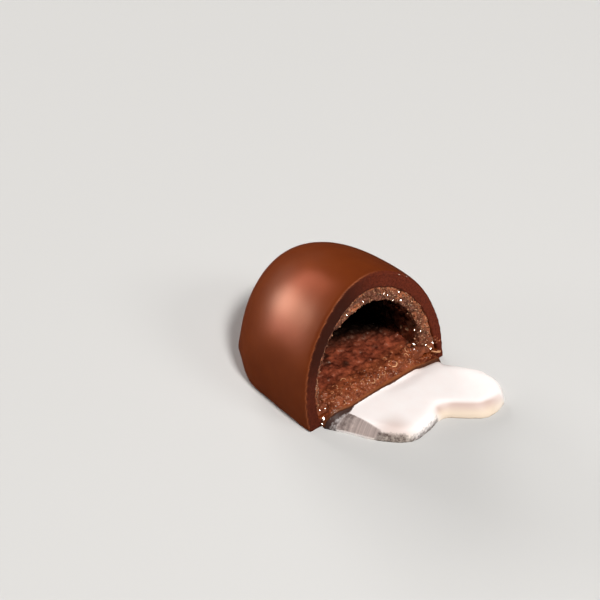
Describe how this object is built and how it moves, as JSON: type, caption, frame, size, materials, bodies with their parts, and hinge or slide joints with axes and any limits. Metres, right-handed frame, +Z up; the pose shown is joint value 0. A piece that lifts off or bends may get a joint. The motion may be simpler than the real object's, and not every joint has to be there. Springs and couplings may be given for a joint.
{
  "type": "cut liquor bonbon with its filling",
  "caption": "Egg-shaped chocolate bonbon cut open across, with a sugar crust, a hollow and a clear to milky liquid filling that has run out in a low pool.",
  "frame": {"origin": "middle of the whole egg's flat base, on the table", "axes": "+X along the egg's length, out of the cut; +Z up from the base; +Y to the side where the pool's tongue lies"},
  "size_m": [0.0294, 0.021, 0.0153],
  "materials": {
    "chocolate": "satin milk chocolate",
    "sugar": "wet crystalline sugar stained by chocolate",
    "sake": "clear where thin, milky where deep"
  },
  "bodies": {
    "root": {"chocolate_coating": "chocolate", "sugar_crust": "sugar", "sake_filling": "sake"}
  },
  "joints": []
}
